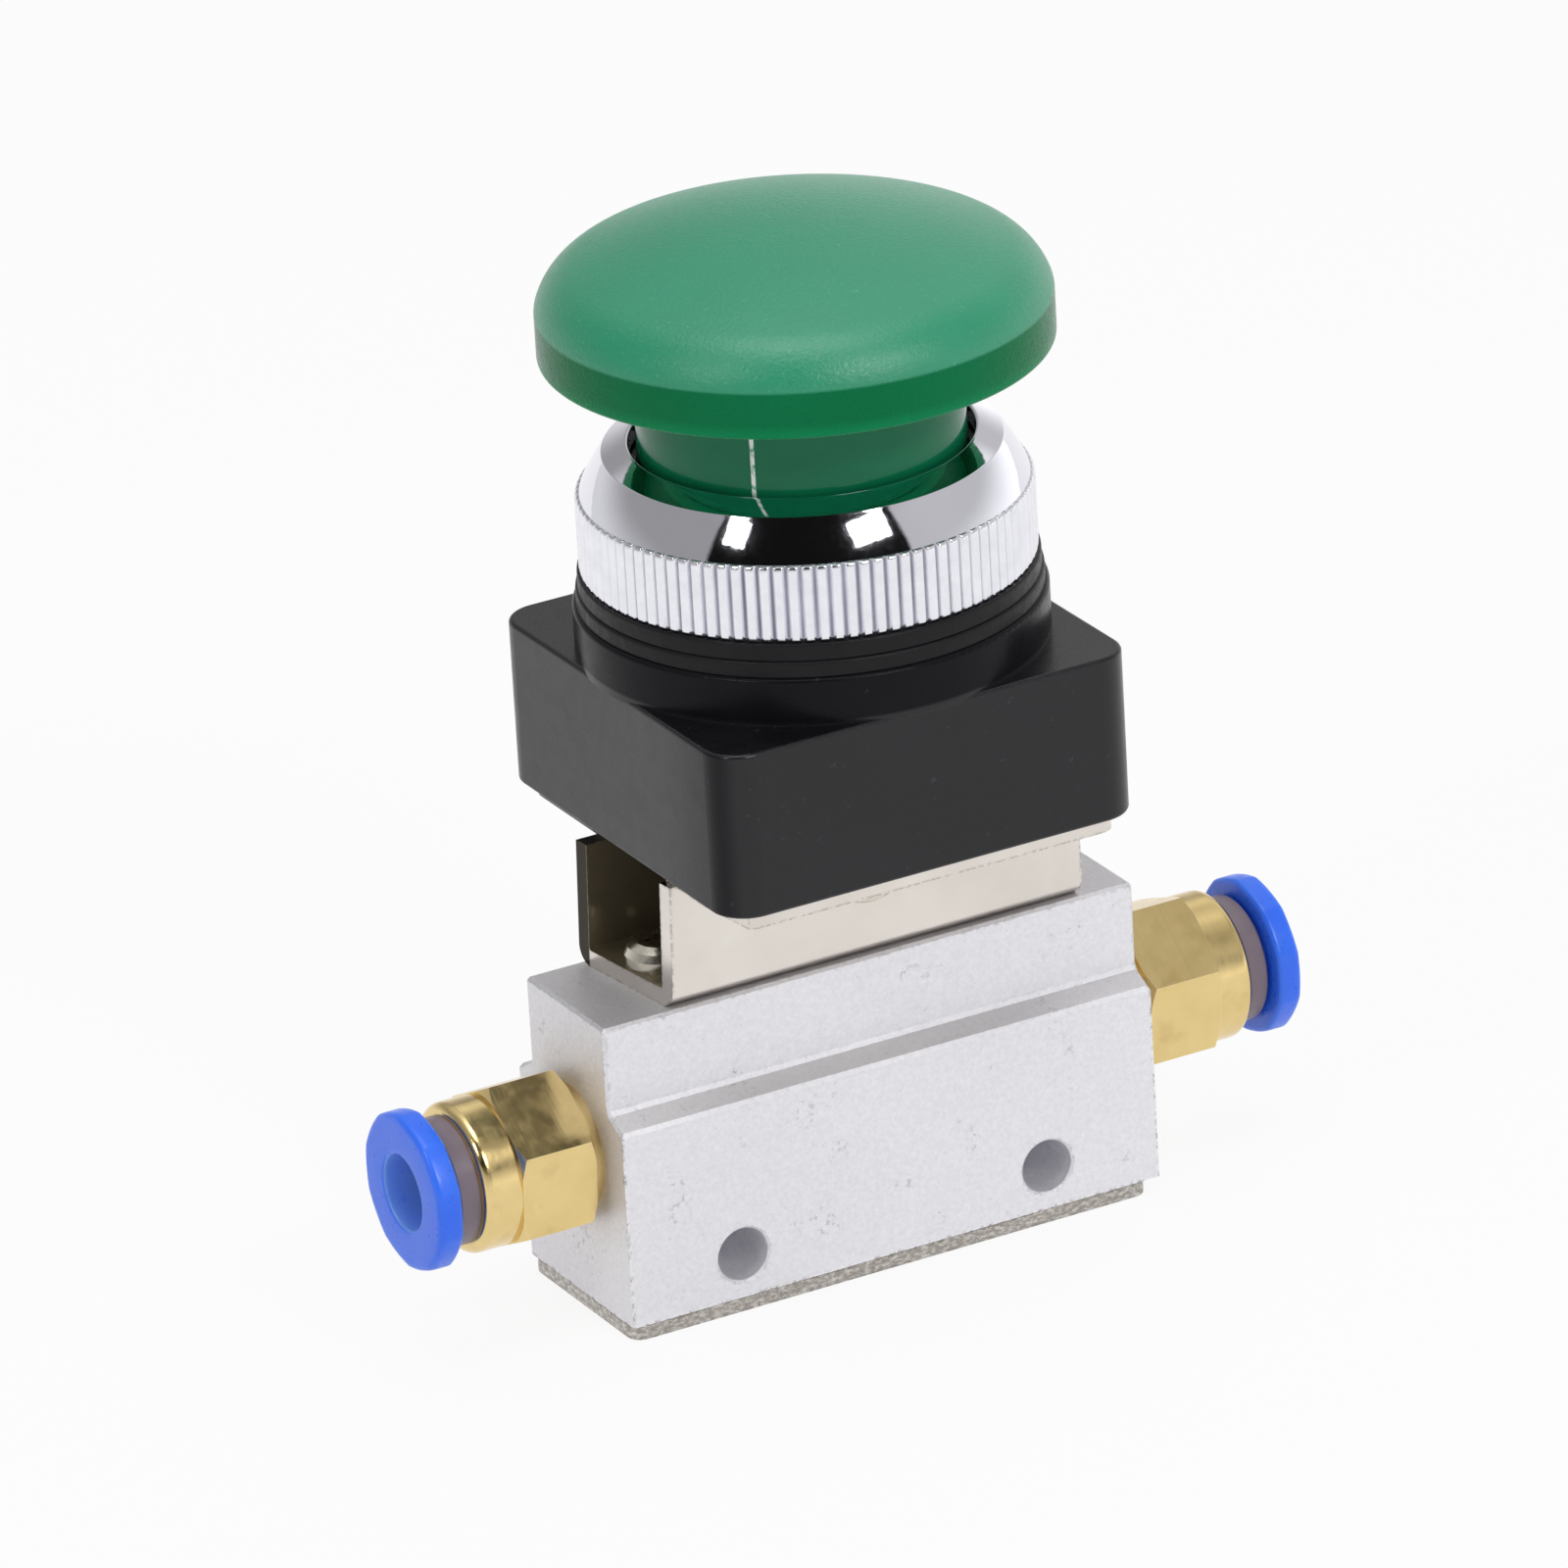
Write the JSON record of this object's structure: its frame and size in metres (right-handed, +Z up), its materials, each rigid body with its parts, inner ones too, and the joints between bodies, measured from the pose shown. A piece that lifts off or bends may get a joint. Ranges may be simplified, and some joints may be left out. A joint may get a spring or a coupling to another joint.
{
  "type": "mushroom button air valve",
  "caption": "Mechanical air valve worked by a mushroom push button in a panel head, with a bracket, a stepped metal body and a push-in tube fitting at each end.",
  "frame": {"origin": "middle of the base plate's underside, below the button's axis", "axes": "+X along the valve body and its tube ports, +Y across the body, away from the pictured side, +Z up along the button's axis"},
  "size_m": [0.0776, 0.04, 0.0857],
  "materials": {
    "blasted_aluminium": "bead blasted, matt",
    "nickel_plate": "nickel plated sheet",
    "steel_screw": "plated steel",
    "spring_steel": "bright wire and strip",
    "brass": "machined",
    "chrome": "bright chrome with a satin knurl",
    "black_plastic": "satin moulding",
    "gasket_rubber": "matt",
    "seal_rubber": "matt",
    "green_cap": "satin, finely speckled",
    "green_stem": "glossy",
    "taupe_plastic": "satin",
    "blue_plastic": "semi-gloss"
  },
  "bodies": {
    "valve": {"valve_body": "blasted_aluminium", "bottom_plate": "nickel_plate", "plate_screws": "steel_screw", "bottom_oring": "seal_rubber", "stem_guide": "brass", "stem_oring": "seal_rubber", "mounting_bracket": "nickel_plate", "bracket_screws": "steel_screw", "box_screws": "steel_screw", "adapter_box": "black_plastic", "guide_disc": "black_plastic", "head_sleeve": "black_plastic", "lower_gasket": "gasket_rubber", "panel_gasket": "gasket_rubber", "bezel_ring": "chrome", "left_fitting_body": "brass", "left_tube_oring": "seal_rubber", "left_gripper": "spring_steel", "left_guide_ring": "taupe_plastic", "right_fitting_body": "brass", "right_tube_oring": "seal_rubber", "right_gripper": "spring_steel", "right_guide_ring": "taupe_plastic", "stem_spring": "spring_steel", "poppet_spring": "spring_steel", "button_spring": "spring_steel"},
    "button": {"mushroom_cap": "green_cap", "button_stem": "green_stem", "button_plunger": "steel_screw", "button_screw": "steel_screw", "retaining_clip": "spring_steel"},
    "valve_stem": {"valve_stem": "steel_screw"},
    "poppet": {"poppet": "brass", "poppet_seal": "seal_rubber"},
    "left_release": {"left_release_sleeve": "blue_plastic"},
    "right_release": {"right_release_sleeve": "blue_plastic"}
  },
  "joints": [
    {"name": "button_press", "type": "slide", "parent": "valve", "child": "button", "axis": [0, 0, -1], "range_m": [0, 0.004], "stiffness_N_per_m": 1500, "springref_m": -0.004, "deforming": ["button_spring"]},
    {"name": "valve_stem_slide", "type": "slide", "parent": "valve", "child": "valve_stem", "axis": [0, 0, -1], "range_m": [0, 0.0025], "stiffness_N_per_m": 300, "springref_m": -0.002, "deforming": ["stem_spring"]},
    {"name": "poppet_slide", "type": "slide", "parent": "valve", "child": "poppet", "axis": [0, 0, -1], "range_m": [0, 0.0015], "stiffness_N_per_m": 400, "springref_m": -0.003, "deforming": ["poppet_spring"]},
    {"name": "left_release_slide", "type": "slide", "parent": "valve", "child": "left_release", "axis": [1, 0, 0], "range_m": [-0.0008, 0.00025]},
    {"name": "right_release_slide", "type": "slide", "parent": "valve", "child": "right_release", "axis": [-1, 0, 0], "range_m": [-0.0008, 0.00025]}
  ],
  "couplings": [
    {"joint": "valve_stem_slide", "follows": "button_press", "ratio": 0.625},
    {"joint": "poppet_slide", "follows": "button_press", "ratio": 0.375}
  ]
}
